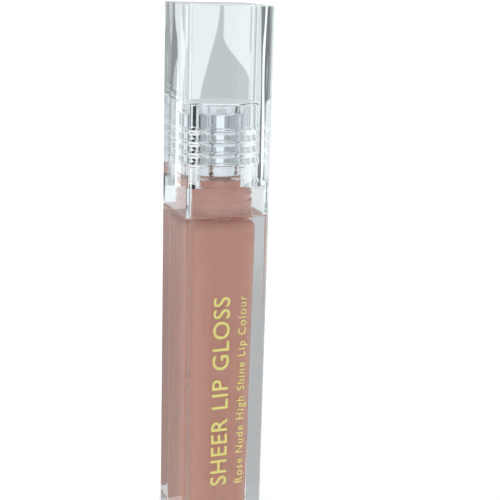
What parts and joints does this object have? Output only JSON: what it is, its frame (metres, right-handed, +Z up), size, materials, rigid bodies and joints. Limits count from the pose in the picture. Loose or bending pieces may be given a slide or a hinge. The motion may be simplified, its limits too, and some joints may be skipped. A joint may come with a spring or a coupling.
{
  "type": "lip gloss tube",
  "caption": "Square clear lip gloss tube: thick-walled bottle with wiper, solid block cap over a ringed silver collar, and a wand with a doe-foot tip.",
  "frame": {"origin": "centre of the bottle's base, on the surface it stands on", "axes": "+Z up the tube from base to cap, printed front face towards -Y, +X to the right of it"},
  "size_m": [0.018, 0.018, 0.117],
  "materials": {
    "clear_bottle": "clear polished copolyester",
    "clear_cap": "clear polished acrylic",
    "silver": "bright vacuum-metallised plastic",
    "gloss_fill": "creamy rose-nude gloss, thick liquid",
    "soft_wiper": "soft natural polyethylene",
    "liner_foam": "closed-cell foam washer",
    "inner_plastic": "moulded white polypropylene",
    "stem_plastic": "moulded white rod",
    "flock": "short nylon flock, tinted by the gloss"
  },
  "bodies": {
    "bottle": {"bottle": "clear_bottle", "wiper": "soft_wiper", "gloss": "gloss_fill"},
    "liner": {"cap_liner": "liner_foam"},
    "stem": {"wand_stem": "stem_plastic"},
    "cap": {"outer_cap": "clear_cap", "collar": "silver", "inner_cap": "inner_plastic", "applicator_tip": "flock"}
  },
  "joints": [
    {"name": "cap_lift", "type": "slide", "parent": "bottle", "child": "liner", "axis": [0, 0, 1], "range_m": [0, 0.09]},
    {"name": "cap_rise", "type": "slide", "parent": "liner", "child": "stem", "axis": [0, 0, 1], "range_m": [0, 0.00376]},
    {"name": "cap_twist", "type": "hinge", "parent": "stem", "child": "cap", "pos_m": [0, 0, 0.085], "axis": [0, 0, 1], "range_deg": [0, 540]}
  ],
  "couplings": [
    {"joint": "cap_rise", "follows": "cap_twist", "m_per_rad": 0.00039789}
  ]
}
